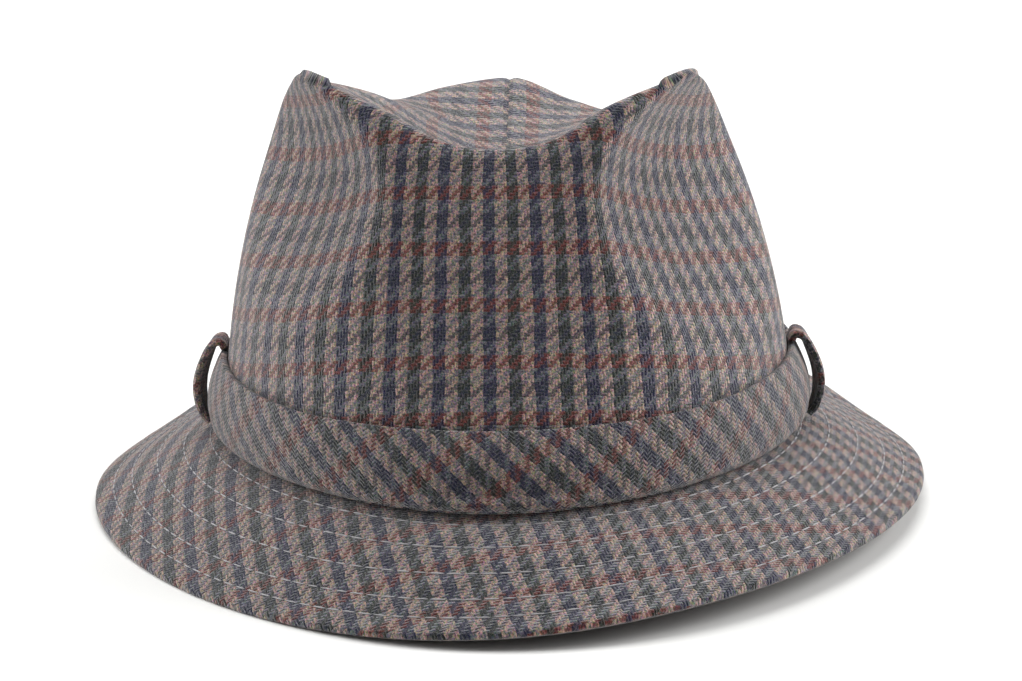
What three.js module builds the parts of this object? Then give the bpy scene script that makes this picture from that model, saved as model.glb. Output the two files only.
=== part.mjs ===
// A soft trilby sewn from checked wool cloth: one pieced crown with a front fold between two peaks,
// a bias-cut band round its foot, two side loops that the band runs through, and a quilted snap brim.
// Millimetres. The front of the hat faces -Y, +Z is up, and the origin is under the middle of the
// hat, on the surface that the brim rests on.

import * as THREE from "three";
import { mergeVertices } from "three/addons/utils/BufferGeometryUtils.js";

// The opening for the head, at the joint of crown and brim.
const HEAD_HALF_WIDTH = 85;
const HEAD_HALF_LENGTH = 101;
const FRONT_NARROWING = 0.12;
const BACK_NARROWING = 0.05;

// Cloth thicknesses: the lined wool of the crown, the padded and quilted brim, the band folded
// double, and the loops with their edges turned in. And the gap that sewn pieces keep.
const CROWN_CLOTH = 1.8;
const BRIM_CLOTH = 2.8;
const BAND_CLOTH = 1.8;
const LOOP_CLOTH = 2.4;
const SEAM_GAP = 0.3;

// How the head opening leans when the hat stands on its brim: back and to the left, in degrees. And
// how far the brim's lowest cloth gives way there and lies flat.
const REST_LEAN_BACK = 2.54;
const REST_LEAN_LEFT = 0.03;
const REST_GIVE = 1.4;
const LYING_FLAT = 0.2;

// How finely the surfaces are cut.
const TURNS = 64;
const WALL_STEPS = 12;
const TOP_STEPS = 9;
const BRIM_STEPS = 8;
const BRIM_EDGE_STRIP = 1.8;

// The crown's ridge, a row for each direction from the front centre (0 degrees) over the side (90)
// to the back centre (180). across, along and height: the top of the ridge on the left side. drop:
// how much lower it lies on the right. belly: how far the wall swells at its lower third. shoulder:
// how far the cloth rounds over outside the ridge. lip: how far it runs on inside the ridge before
// it drops. floor: where along the hat the dent's floor is met.
const RIDGE = [
  { turn: 0, across: 0, along: -60, height: 99, drop: 0, belly: 1, shoulder: 6, lip: 7, floor: -34 },
  { turn: 15, across: 18, along: -59.5, height: 102, drop: 0, belly: 1, shoulder: 6, lip: 8, floor: -32 },
  { turn: 29, across: 35, along: -56, height: 111, drop: 0, belly: 3, shoulder: 8, lip: 9, floor: -28 },
  { turn: 45, across: 55.5, along: -44, height: 118, drop: 1.5, belly: 6, shoulder: 12, lip: 10, floor: -20 },
  { turn: 65, across: 59, along: -23, height: 114, drop: 2, belly: 9, shoulder: 14, lip: 11, floor: -9 },
  { turn: 90, across: 55.5, along: 5, height: 106, drop: 2, belly: 12, shoulder: 14, lip: 12, floor: 4 },
  { turn: 115, across: 46, along: 32, height: 97, drop: 3, belly: 12, shoulder: 14, lip: 12, floor: 17 },
  { turn: 140, across: 34, along: 52, height: 89, drop: 5, belly: 12, shoulder: 15, lip: 12, floor: 28 },
  { turn: 160, across: 18, along: 66, height: 90, drop: 5, belly: 11, shoulder: 15, lip: 12, floor: 36 },
  { turn: 180, across: 0, along: 72, height: 91, drop: 0, belly: 11, shoulder: 15, lip: 12, floor: 39 },
];

// The floor of the dent, a row for each place along the hat.
const DENT_FLOOR = [
  { along: -34, height: 80 },
  { along: -10, height: 76 },
  { along: 15, height: 78 },
  { along: 41, height: 84.5 },
];
const DENT_SOFTNESS = 14;
const BELLY_HEIGHT = 0.4;

// The pinch on both sides of the front, a row for each height: how far out the crown's wall reaches
// there, square to the face that is pressed in on the left and on the right. And which way the two
// faces look, in degrees from the front, and how softly the wall bends into them.
const PINCH = [
  { height: 0, left: 124, right: 118 },
  { height: 20, left: 107, right: 99 },
  { height: 34, left: 96, right: 87.5 },
  { height: 50, left: 85.5, right: 78 },
  { height: 64, left: 77, right: 69.5 },
  { height: 78, left: 69.5, right: 62.5 },
  { height: 91, left: 65, right: 59.5 },
  { height: 105, left: 66.5, right: 63 },
  { height: 118, left: 73, right: 73 },
  { height: 130, left: 82, right: 84 },
];
const PINCH_LOOKS = { left: -57, right: 60 };
const PINCH_SOFTNESS = 4;

// The brim, a row for each direction once round, the left side below 0: its width along the cloth,
// and how steeply it falls, in degrees, beside the crown, at its middle and at its edge.
const BRIM = [
  { turn: -180, width: 45, inner: 4, middle: 8, edge: -8 },
  { turn: -150, width: 45, inner: 7, middle: 14, edge: 0 },
  { turn: -120, width: 45, inner: 11, middle: 28, edge: 19 },
  { turn: -90, width: 46, inner: 13, middle: 29, edge: 22 },
  { turn: -60, width: 45.5, inner: 16, middle: 37, edge: 28 },
  { turn: -30, width: 45, inner: 16, middle: 41, edge: 32 },
  { turn: 0, width: 45, inner: 15, middle: 37, edge: 29 },
  { turn: 30, width: 45, inner: 12, middle: 29, edge: 21 },
  { turn: 60, width: 44.5, inner: 10, middle: 26, edge: 19 },
  { turn: 90, width: 43.5, inner: 11, middle: 26, edge: 18 },
  { turn: 120, width: 44.5, inner: 12, middle: 28, edge: 18 },
  { turn: 150, width: 45, inner: 7, middle: 13, edge: -1 },
  { turn: 180, width: 45, inner: 4, middle: 8, edge: -8 },
];

// The band, a row for each height on its outside, from its rolled lower edge to its upper one, and
// how far it stands off the crown there, at the front and back and at the sides.
const BAND_PROFILE = [
  { height: 0, ends: 1.9, sides: 2.2 },
  { height: 2.2, ends: 3.8, sides: 4.2 },
  { height: 4.6, ends: 2.7, sides: 4.8 },
  { height: 7, ends: 3.6, sides: 5.3 },
  { height: 12, ends: 4.3, sides: 5.1 },
  { height: 18, ends: 3.4, sides: 3.5 },
  { height: 22, ends: 1.9, sides: 1.8 },
];
const BAND_FOOT = 1.4;

// The side loops, the middle of their cloth from where it leaves the crown above the band, out
// over the band and back in to the brim.
const LOOP_TURN = 91;
const LOOP_TWIST = 12;
const LOOP_WIDTH = 10;
const LOOP_STEPS = 14;
const LOOP_PATH = [
  { proud: 1.6, height: 24.1 },
  { proud: 2.8, height: 25.9 },
  { proud: 5, height: 25.2 },
  { proud: 7, height: 20.5 },
  { proud: 8.4, height: 14 },
  { proud: 8.1, height: 8 },
  { proud: 6.6, height: 3.4 },
  { proud: 4.8, height: 1.2 },
];

const UP = new THREE.Vector3(0, 0, 1);
const radians = THREE.MathUtils.degToRad;

// The turn from the head's upright frame to the hat as it stands, and what is up for it there.
const restTurn = new THREE.Quaternion().setFromEuler(
  new THREE.Euler(-radians(REST_LEAN_BACK), radians(REST_LEAN_LEFT), 0),
);
const restUp = UP.clone().applyQuaternion(restTurn.clone().invert());

// Reads a column of a table at a place between its rows, on a smooth curve through them.
function read(table, key, place, column) {
  const last = table.length - 1;
  let i = 0;
  while (i < last - 1 && place > table[i + 1][key]) i += 1;
  const slope = (k) => {
    const before = table[Math.max(k - 1, 0)];
    const after = table[Math.min(k + 1, last)];
    return (after[column] - before[column]) / (after[key] - before[key]);
  };
  const span = table[i + 1][key] - table[i][key];
  const t = THREE.MathUtils.clamp((place - table[i][key]) / span, 0, 1);
  const [a, b] = [table[i][column], table[i + 1][column]];
  const [da, db] = [slope(i) * span, slope(i + 1) * span];
  return (
    a * (1 + 2 * t) * (1 - t) ** 2 + da * t * (1 - t) ** 2 +
    b * t * t * (3 - 2 * t) - db * t * t * (1 - t)
  );
}

// Continues a table of half the hat past its two ends, where the other half mirrors it.
function mirrored(table) {
  const flip = (row, turn) => ({ ...row, turn, across: -(row.across ?? 0) });
  const [second, lastButOne] = [table[1], table[table.length - 2]];
  return [flip(second, -second.turn), ...table, flip(lastButOne, 360 - lastButOne.turn)];
}

const ridgeRows = mirrored(RIDGE);

// A point on an oval round the head, and the level direction straight out of it. The oval is
// narrower than an ellipse towards both ends, more so towards the forehead.
function oval(turn, spread) {
  const angle = radians(turn);
  const narrowing = Math.cos(angle) > 0 ? FRONT_NARROWING : BACK_NARROWING;
  const out = new THREE.Vector3(
    Math.sin(angle) * HEAD_HALF_LENGTH,
    -Math.cos(angle) * HEAD_HALF_WIDTH,
    0,
  ).normalize();
  const point = new THREE.Vector3(
    Math.sin(angle) * (1 - narrowing * Math.cos(angle) ** 2) * HEAD_HALF_WIDTH,
    -Math.cos(angle) * HEAD_HALF_LENGTH,
    0,
  ).addScaledVector(out, spread);
  return { point, out };
}

// Presses a point of the crown's wall in, where it reaches beyond the pinch on its side.
function pinched(turn, point) {
  const side = turn < 0 ? "left" : "right";
  const looks = radians(PINCH_LOOKS[side]);
  const face = new THREE.Vector3(Math.sin(looks), -Math.cos(looks), 0);
  const beyond = point.dot(face) - read(PINCH, "height", point.z, side);
  const push = (beyond + Math.hypot(beyond, PINCH_SOFTNESS)) / 2;
  return point.clone().addScaledVector(face, -push * Math.min(Math.abs(turn) / 15, 1));
}

// The crown's outside in one direction: the wall up to the ridge, then the top down to the dent.
function crownSection(turn) {
  const side = turn < 0 ? -1 : 1;
  const at = (column) => read(ridgeRows, "turn", Math.abs(turn), column);
  const { point: foot, out } = oval(turn, CROWN_CLOTH);
  const ridge = new THREE.Vector3(side * at("across"), at("along"), at("height"));
  if (side > 0) ridge.z -= at("drop");
  const floorAlong = at("floor");
  const floor = new THREE.Vector3(0, floorAlong, read(DENT_FLOOR, "along", floorAlong, "height"));
  const inward = floor.clone().sub(ridge).setZ(0).normalize();
  const unpressed = new THREE.CubicBezierCurve3(
    foot,
    foot.clone().lerp(ridge, BELLY_HEIGHT).addScaledVector(out, at("belly")),
    ridge.clone().addScaledVector(inward, -at("shoulder")),
    ridge,
  );
  const wallAt = (part) => pinched(turn, unpressed.getPoint(part));
  const top = new THREE.CubicBezierCurve3(
    ridge,
    ridge.clone().addScaledVector(inward, at("lip")),
    floor.clone().addScaledVector(inward, -DENT_SOFTNESS),
    floor,
  );
  return { wallAt, top, out };
}

// Turns a grid of points that closes on itself sideways into an indexed surface.
function sheet(rows) {
  const wide = rows[0].length;
  const positions = rows.flat().flatMap((p) => [p.x, p.y, p.z]);
  const index = [];
  for (let r = 0; r + 1 < rows.length; r += 1) {
    for (let c = 0; c < wide; c += 1) {
      const [a, b] = [r * wide + c, r * wide + ((c + 1) % wide)];
      index.push(a, b, a + wide, b, b + wide, a + wide);
    }
  }
  const geometry = new THREE.BufferGeometry();
  geometry.setAttribute("position", new THREE.Float32BufferAttribute(positions, 3));
  geometry.setIndex(index);
  return geometry;
}

// Gives an open surface a thickness behind it and closes its open edges.
function thicken(surface, thickness) {
  const outer = mergeVertices(surface, 1e-3);
  const kept = [];
  const source = outer.index.array;
  for (let i = 0; i < source.length; i += 3) {
    const [a, b, c] = [source[i], source[i + 1], source[i + 2]];
    if (a !== b && b !== c && c !== a) kept.push(a, b, c);
  }
  outer.setIndex(kept);
  outer.computeVertexNormals();
  const place = outer.attributes.position;
  const normal = outer.attributes.normal;
  const count = place.count;
  const points = Array.from(place.array);
  for (let i = 0; i < count; i += 1) {
    points.push(
      place.getX(i) - normal.getX(i) * thickness,
      place.getY(i) - normal.getY(i) * thickness,
      place.getZ(i) - normal.getZ(i) * thickness,
    );
  }
  const faces = [...kept];
  const edges = new Map();
  for (let i = 0; i < kept.length; i += 3) {
    const [a, b, c] = [kept[i], kept[i + 1], kept[i + 2]];
    faces.push(a + count, c + count, b + count);
    for (const [from, to] of [[a, b], [b, c], [c, a]]) {
      if (!edges.delete(`${to},${from}`)) edges.set(`${from},${to}`, [from, to]);
    }
  }
  for (const [from, to] of edges.values()) {
    faces.push(from, from + count, to, to, from + count, to + count);
  }
  const solid = new THREE.BufferGeometry();
  solid.setAttribute("position", new THREE.Float32BufferAttribute(points, 3));
  solid.setIndex(faces);
  return solid;
}

// Makes a ring out of closed cross-sections, one for each direction.
function ring(sections) {
  const rows = [...sections, sections[0]];
  return mergeVertices(sheet(rows), 1e-3);
}

// Makes a closed strip out of cross-sections, with a fan of faces over each end.
function capped(sections) {
  const strip = sheet(sections);
  const faces = Array.from(strip.index.array);
  const wide = sections[0].length;
  const last = (sections.length - 1) * wide;
  for (let i = 1; i + 1 < wide; i += 1) {
    faces.push(0, i + 1, i, last, last + i, last + i + 1);
  }
  strip.setIndex(faces);
  return strip;
}

// Every direction in which the hat is cut, in degrees, once round.
const turns = Array.from({ length: TURNS }, (_, i) => (i * 360) / TURNS - 180);

function crownGeometry() {
  const sections = turns.map((turn) => {
    const { wallAt, top } = crownSection(turn);
    const wall = Array.from({ length: WALL_STEPS + 1 }, (_, i) => wallAt(i / WALL_STEPS));
    wall[0].z = SEAM_GAP;
    return [...wall, ...top.getPoints(TOP_STEPS).slice(1)];
  });
  const rows = sections[0].map((_, level) => sections.map((section) => section[level]));
  const crown = thicken(sheet(rows), CROWN_CLOTH);
  const place = crown.attributes.position;
  for (let i = 0; i < place.count; i += 1) place.setZ(i, Math.max(place.getZ(i), SEAM_GAP));
  return crown;
}

// The brim's upper side in one direction, from inside the crown's wall out to the edge. The last
// step is a narrow strip, so that the edge can lie flat by itself.
function brimSection(turn) {
  const at = (column) => read(BRIM, "turn", turn, column);
  const { point, out } = oval(turn, 0);
  const bends = [at("inner"), at("middle"), at("edge")];
  const whole = at("width") + CROWN_CLOTH;
  const points = [point.clone()];
  let reached = 0;
  for (let i = 1; i <= BRIM_STEPS; i += 1) {
    const next = i < BRIM_STEPS ? (i / (BRIM_STEPS - 1)) * (whole - BRIM_EDGE_STRIP) : whole;
    const t = (reached + next) / 2 / whole;
    const fall = radians(
      bends[0] * (1 - t) * (1 - 2 * t) + bends[1] * 4 * t * (1 - t) + bends[2] * t * (2 * t - 1),
    );
    const step = next - reached;
    point.addScaledVector(out, step * Math.cos(fall)).addScaledVector(UP, -step * Math.sin(fall));
    points.push(point.clone());
    reached = next;
  }
  return points;
}

// The brim, with its lowest cloth lifted to lie flat on the surface that the hat stands on.
function brimGeometry() {
  const sections = turns.map(brimSection);
  const lowest = Math.min(...sections.flat().map((point) => point.dot(restUp)));
  const surface = lowest + REST_GIVE - BRIM_CLOTH;
  const heightOf = (point) => point.dot(restUp) - surface;
  for (const point of sections.flat()) {
    point.addScaledVector(restUp, Math.max(BRIM_CLOTH - heightOf(point), 0));
  }
  const rows = sections[0].map((_, level) => sections.map((section) => section[level])).reverse();
  const brim = thicken(sheet(rows), BRIM_CLOTH);
  const place = brim.attributes.position;
  for (let i = 0; i < place.count; i += 1) {
    const point = new THREE.Vector3().fromBufferAttribute(place, i);
    const height = heightOf(point);
    if (height < LYING_FLAT) place.setXYZ(i, ...point.addScaledVector(restUp, -height));
  }
  return brim;
}

// A place that stands proud of the crown's wall at a height.
function offWall(turn, height, proud) {
  const { wallAt, out } = crownSection(turn);
  let [low, high] = [0, 1];
  for (let i = 0; i < 24; i += 1) {
    const middle = (low + high) / 2;
    if (wallAt(middle).z < height) low = middle;
    else high = middle;
  }
  return wallAt(low).setZ(height).addScaledVector(out, proud);
}

function bandGeometry() {
  const sections = turns.map((turn) => {
    const sideways = Math.sin(radians(turn)) ** 2;
    const proudOf = (row) => THREE.MathUtils.lerp(row.ends, row.sides, sideways);
    const outside = BAND_PROFILE.map((row) =>
      offWall(turn, BAND_FOOT + row.height, proudOf(row) + SEAM_GAP),
    );
    const inside = BAND_PROFILE.map((row) =>
      offWall(turn, BAND_FOOT + row.height, Math.max(proudOf(row) - BAND_CLOTH, 0) + SEAM_GAP),
    );
    return [...inside, ...outside.reverse()];
  });
  return ring(sections);
}

// A strip of cloth with rounded edges that arches over the band on one side of the hat. Between
// its ends it stands open towards the front.
function loopGeometry(turn) {
  const { out } = crownSection(turn);
  const path = new THREE.CatmullRomCurve3(
    LOOP_PATH.map(({ height, proud }) => offWall(turn, height, proud)),
  );
  const [halfWidth, halfCloth] = [LOOP_WIDTH / 2, LOOP_CLOTH / 2];
  const outline = [
    [-halfWidth, -halfCloth / 2], [-halfWidth + halfCloth, -halfCloth],
    [halfWidth - halfCloth, -halfCloth], [halfWidth, -halfCloth / 2],
    [halfWidth, halfCloth / 2], [halfWidth - halfCloth, halfCloth],
    [-halfWidth + halfCloth, halfCloth], [-halfWidth, halfCloth / 2],
  ];
  const sections = [];
  for (let i = 0; i <= LOOP_STEPS; i += 1) {
    const part = i / LOOP_STEPS;
    const middle = path.getPointAt(part);
    const twist = Math.sign(turn) * radians(LOOP_TWIST) * Math.sin(Math.PI * part);
    const along = new THREE.Vector3(-out.y, out.x, 0).applyAxisAngle(UP, twist);
    const away = new THREE.Vector3().crossVectors(path.getTangentAt(part), along).normalize();
    sections.push(
      outline.map(([sideways, outwards]) =>
        middle.clone().addScaledVector(along, sideways).addScaledVector(away, outwards),
      ),
    );
  }
  return capped(sections);
}

const hat = new THREE.Group();

function addPiece(name, geometry, color) {
  const material = new THREE.MeshStandardMaterial({ color, roughness: 0.95, metalness: 0 });
  const mesh = new THREE.Mesh(geometry, material);
  mesh.name = name;
  hat.add(mesh);
}

addPiece("crown", crownGeometry(), 0x6b6264);
addPiece("brim", brimGeometry(), 0x645c60);
addPiece("band", bandGeometry(), 0x5c5458);
addPiece("loop_left", loopGeometry(-LOOP_TURN), 0x5c5458);
addPiece("loop_right", loopGeometry(LOOP_TURN), 0x5c5458);

// Stands the hat on its brim, with the origin under the middle of its bounding box.
hat.quaternion.copy(restTurn);
const box = new THREE.Box3().setFromObject(hat, true);
const middle = box.getCenter(new THREE.Vector3());
hat.position.set(-middle.x, -middle.y, -box.min.z);

export default hat;
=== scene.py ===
import logging
import math
from dataclasses import dataclass
from enum import Enum
from typing import Any, Callable, Sequence

import bmesh
import bpy
import numpy as np
from bpy.types import Material, Node, NodeSocket, NodeTree, Object
from mathutils import Matrix, Vector


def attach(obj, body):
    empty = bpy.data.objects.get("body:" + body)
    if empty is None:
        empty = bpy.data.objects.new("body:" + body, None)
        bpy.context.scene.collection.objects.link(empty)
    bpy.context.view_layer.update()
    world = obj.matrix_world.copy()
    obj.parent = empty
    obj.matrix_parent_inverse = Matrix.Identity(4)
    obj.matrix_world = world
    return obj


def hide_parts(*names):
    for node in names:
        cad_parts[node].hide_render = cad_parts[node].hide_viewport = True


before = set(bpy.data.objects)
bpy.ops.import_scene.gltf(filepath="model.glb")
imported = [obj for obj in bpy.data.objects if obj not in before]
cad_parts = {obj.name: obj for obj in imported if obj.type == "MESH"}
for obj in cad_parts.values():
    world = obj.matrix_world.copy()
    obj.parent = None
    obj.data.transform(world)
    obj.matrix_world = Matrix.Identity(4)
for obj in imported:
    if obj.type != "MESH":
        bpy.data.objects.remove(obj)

logging.basicConfig(level=logging.INFO, format="%(message)s")
log = logging.getLogger("trilby")

Array = np.ndarray
Pair = tuple[float, float]
Triple = tuple[float, float, float]

MM = 0.001

# The head opening at the joint of crown and brim, and the cloths, in millimetres.
HEAD_HALF_WIDTH = 85.0
HEAD_HALF_LENGTH = 101.0
FRONT_NARROWING = 0.12
BACK_NARROWING = 0.05
CROWN_CLOTH = 1.8
BRIM_CLOTH = 2.8
BAND_CLOTH = 1.8
LOOP_CLOTH = 2.4
SEAM_GAP = 0.3

# One thread's place in the cloth, and the threads after which the check repeats.
THREAD_PITCH = 1.04
REPEAT_THREADS = 16

# How the head opening leans on the standing hat, in degrees, and where its middle is, in mm.
LEAN_BACK = 2.54
LEAN_LEFT = 0.03
OPENING_AT = (0.653, -2.996, 23.482)

# The crown: how far its curves run on level into the dent, how high the wall's belly is, and the
# pressed faces beside the front: where they look, in degrees, and how softly they bend the wall.
DENT_SOFTNESS = 14.0
BELLY_HEIGHT = 0.4
PINCH_LEFT = 57.0
PINCH_RIGHT = 60.0
PINCH_SOFTNESS = 4.0
PINCH_FULL_TURN = 15.0
WALL_STEPS = 200

# The band's place on the wall, and the loops: where they sit and how they turn, in degrees.
BAND_FOOT = 1.4
BAND_HEIGHT = 22.0
LOOP_TURN = 91.0
LOOP_TWIST = 12.0
LOOP_WIDTH = 10.0

# Points closer than the first are made one, edges shorter than the second are dropped, in metres.
WELD = 1e-5
SHORTEST_EDGE = 1e-7


class HatSide(Enum):
    """A side of the hat as seen from its front, with the sign of the direction to it."""

    LEFT = -1.0
    RIGHT = 1.0


class Table:
    """Rows of named columns, read on a smooth curve through them."""

    def __init__(self, columns: str, *rows: tuple[float, ...]) -> None:
        """Keeps rows of numbers, one for each of the named columns, the first being the key."""
        self.columns = columns.split()
        self.rows = np.array(rows, float)

    def read(self, place: Any, column: str) -> Array:
        """Reads a column at places between the rows.

        Args:
            place: values of the key column.
            column: the name of the column to read.

        Returns:
            The column's values at those places.
        """
        keys = self.rows[:, 0]
        values = self.rows[:, self.columns.index(column)]
        last = len(keys) - 1
        place = np.asarray(place, float)
        i = np.clip(np.searchsorted(keys, place) - 1, 0, last - 1)
        before = np.maximum(np.arange(last + 1) - 1, 0)
        after = np.minimum(np.arange(last + 1) + 1, last)
        slope = (values[after] - values[before]) / (keys[after] - keys[before])
        span = keys[i + 1] - keys[i]
        t = np.clip((place - keys[i]) / span, 0, 1)
        a, b = values[i], values[i + 1]
        da, db = slope[i] * span, slope[i + 1] * span
        rise, fall = t * t * (3 - 2 * t), (1 + 2 * t) * (1 - t) ** 2
        return a * fall + b * rise + da * t * (1 - t) ** 2 - db * t * t * (1 - t)


# The crown's ridge for each direction: 0 at the front centre, 90 at the side, 180 at the back.
RIDGE = Table(
    "turn across along height drop belly shoulder lip floor",
    (-15, -18, -59.5, 102, 0, 1, 6, 8, -32),
    (0, 0, -60, 99, 0, 1, 6, 7, -34),
    (15, 18, -59.5, 102, 0, 1, 6, 8, -32),
    (29, 35, -56, 111, 0, 3, 8, 9, -28),
    (45, 55.5, -44, 118, 1.5, 6, 12, 10, -20),
    (65, 59, -23, 114, 2, 9, 14, 11, -9),
    (90, 55.5, 5, 106, 2, 12, 14, 12, 4),
    (115, 46, 32, 97, 3, 12, 14, 12, 17),
    (140, 34, 52, 89, 5, 12, 15, 12, 28),
    (160, 18, 66, 90, 5, 11, 15, 12, 36),
    (180, 0, 72, 91, 0, 11, 15, 12, 39),
    (200, -18, 66, 90, 5, 11, 15, 12, 36),
)
DENT_FLOOR = Table("along height", (-34, 80), (-10, 76), (15, 78), (41, 84.5))

# The pinch on both sides of the front: how far out the wall reaches square to the pressed face.
PINCH = Table(
    "height left right",
    (0, 124, 118), (20, 107, 99), (34, 96, 87.5), (50, 85.5, 78), (64, 77, 69.5),
    (78, 69.5, 62.5), (91, 65, 59.5), (105, 66.5, 63), (118, 73, 73), (130, 82, 84),
)

# How the crown's cloth lies, for each direction: how far the rows of the check and its columns
# tilt against the level and the upright there, in degrees.
CROWN_GRAIN = Table(
    "turn rows columns",
    (0, 0, 0), (15, 6, 0), (30, 11.5, 0), (45, 15, 0), (60, 16.5, 0),
    (90, 17, 8), (120, 38, 32), (150, 64, 62), (180, 82, 82),
)

# The brim for each direction, the left side below 0: its width along the cloth and how steeply
# it falls beside the crown, at its middle and at its edge.
BRIM = Table(
    "turn width inner middle edge",
    (-180, 45, 4, 8, -8),
    (-150, 45, 7, 14, 0),
    (-120, 45, 11, 28, 19),
    (-90, 46, 13, 29, 22),
    (-60, 45.5, 16, 37, 28),
    (-30, 45, 16, 41, 32),
    (0, 45, 15, 37, 29),
    (30, 45, 12, 29, 21),
    (60, 44.5, 10, 26, 19),
    (90, 43.5, 11, 26, 18),
    (120, 44.5, 12, 28, 18),
    (150, 45, 7, 13, -1),
    (180, 45, 4, 8, -8),
)

# The band's outside: how far it stands off the crown, at the ends of the hat and at its sides.
BAND_PROFILE = Table(
    "height ends sides",
    (0, 1.9, 2.2), (2.2, 3.8, 4.2), (4.6, 2.7, 4.8), (7, 3.6, 5.3), (12, 4.3, 5.1),
    (18, 3.4, 3.5), (22, 1.9, 1.8),
)

# The middle of a side loop's cloth, from the crown above the band out and down to the brim.
LOOP_PATH = (
    (1.6, 24.1), (2.8, 25.9), (5, 25.2), (7, 20.5), (8.4, 14), (8.1, 8), (6.6, 3.4), (4.8, 1.2),
)


def unit(vectors: Array) -> Array:
    """Vectors made one long."""
    return vectors / np.maximum(np.linalg.norm(vectors, axis=-1, keepdims=True), 1e-12)


def stand(points: Array, place: bool = True) -> Array:
    """Takes points from the upright head to the standing hat.

    Args:
        points: points in millimetres, in the frame of the head opening.
        place: whether they are places, and not directions.

    Returns:
        The same in metres, on the surface that the hat stands on, or turned only.
    """
    a, b = math.radians(LEAN_BACK), math.radians(LEAN_LEFT)
    about_x = np.array([[1, 0, 0], [0, math.cos(a), math.sin(a)], [0, -math.sin(a), math.cos(a)]])
    about_y = np.array([[math.cos(b), 0, math.sin(b)], [0, 1, 0], [-math.sin(b), 0, math.cos(b)]])
    turned = points @ (about_x @ about_y).T
    return (turned + np.array(OPENING_AT)) * MM if place else turned


def oval(turn: Array, spread: Any) -> tuple[Array, Array]:
    """An oval round the head, narrower than an ellipse towards both ends.

    Args:
        turn: directions in degrees.
        spread: how far outside the head opening it runs.

    Returns:
        Its points, and the level directions straight out of it.
    """
    a = np.radians(turn)
    narrowing = np.where(np.cos(a) > 0, FRONT_NARROWING, BACK_NARROWING)
    level = np.zeros_like(a)
    out = unit(np.stack([np.sin(a) * HEAD_HALF_LENGTH, -np.cos(a) * HEAD_HALF_WIDTH, level], -1))
    x = np.sin(a) * (1 - narrowing * np.cos(a) ** 2) * HEAD_HALF_WIDTH
    points = np.stack([x, -np.cos(a) * HEAD_HALF_LENGTH, level], -1)
    return points + out * np.asarray(spread)[..., None], out


def directions(columns: int) -> Array:
    """That many directions from the back round to the back, in degrees."""
    return np.linspace(-180, 180, columns + 1)[:-1]


def bezier(ends: Sequence[Array], t: Array) -> Array:
    """Points of a cubic curve with four control points, one row for each t."""
    t = t[:, None, None]
    a, b, c, d = ends
    return a * (1 - t) ** 3 + 3 * b * t * (1 - t) ** 2 + 3 * c * t * t * (1 - t) + d * t**3


def pinched(turn: Array, points: Array) -> Array:
    """Presses the wall in against a face on each side of the front.

    Args:
        turn: the direction of each column of points.
        points: the wall's points, a row for each height.

    Returns:
        The pressed points.
    """
    left = turn < 0
    side = np.where(left, -1.0, 1.0)
    a = np.radians(np.where(left, PINCH_LEFT, PINCH_RIGHT))
    height = points[..., 2]
    reach = np.where(left, PINCH.read(height, "left"), PINCH.read(height, "right"))
    face = np.stack([side * np.sin(a), -np.cos(a), 0 * a], -1)
    beyond = (points * face).sum(-1) - reach
    push = (beyond + np.sqrt(beyond**2 + PINCH_SOFTNESS**2)) / 2
    push = push * np.clip(np.abs(turn) / PINCH_FULL_TURN, 0, 1)
    return points - push[..., None] * face


def crown_lines(turn: Array) -> tuple[list[Array], list[Array], Array]:
    """The curves of the crown's outside: the wall up to the ridge and the top down to the dent.

    Args:
        turn: directions in degrees.

    Returns:
        The control points of the wall's and the top's curves, and the directions out.
    """
    side = np.where(turn < 0, -1.0, 1.0)
    at: Callable[[str], Array] = lambda column: RIDGE.read(np.abs(turn), column)
    foot, out = oval(turn, CROWN_CLOTH + 0 * turn)
    high = at("height") - np.where(side > 0, at("drop"), 0)
    ridge = np.stack([side * at("across"), at("along"), high], -1)
    along = at("floor")
    floor = np.stack([0 * along, along, DENT_FLOOR.read(along, "height")], -1)
    inward = unit((floor - ridge) * (1, 1, 0))
    wall = [
        foot,
        foot + (ridge - foot) * BELLY_HEIGHT + out * at("belly")[:, None],
        ridge - inward * at("shoulder")[:, None],
        ridge,
    ]
    top = [ridge, ridge + inward * at("lip")[:, None], floor - inward * DENT_SOFTNESS, floor]
    return wall, top, out


def off_wall(turn: Array, height: Array, proud: Array) -> Array:
    """Places that stand proud of the crown's wall.

    Args:
        turn: directions in degrees, one for each column.
        height: the heights above the brim, one row for each.
        proud: how far out of the wall, for each row and column.

    Returns:
        The points, rows by columns.
    """
    wall, _, out = crown_lines(turn)
    steps = pinched(turn, bezier(wall, np.linspace(0, 1, WALL_STEPS)))
    lines, rows = steps.swapaxes(0, 1), []
    for level, off in zip(height, proud):
        x, y = ([np.interp(level, line[:, 2], line[:, k]) for line in lines] for k in (0, 1))
        rows.append(np.stack([x, y, np.full(len(turn), level)], -1) + out * off[:, None])
    return np.array(rows)


def lengths(points: Array, axis: int) -> Array:
    """How far along each line of points each point is."""
    step = np.linalg.norm(np.diff(points, axis=axis), axis=-1)
    start = np.zeros_like(np.take(step, [0], axis=axis))
    return np.concatenate([start, np.cumsum(step, axis=axis)], axis=axis)


def smooth(value: Array, start: float, end: float) -> Array:
    """Runs softly from 0 at the start to 1 at the end."""
    t = np.clip((value - start) / (end - start), 0, 1)
    return t * t * (3 - 2 * t)


def to_linear(colour: str) -> tuple[float, float, float, float]:
    """A colour for a shader from its sRGB hex code."""
    channels = [int(colour[i : i + 2], 16) / 255 for i in (1, 3, 5)]
    linear = [c / 12.92 if c <= 0.04045 else ((c + 0.055) / 1.055) ** 2.4 for c in channels]
    return (*linear, 1.0)


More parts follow.
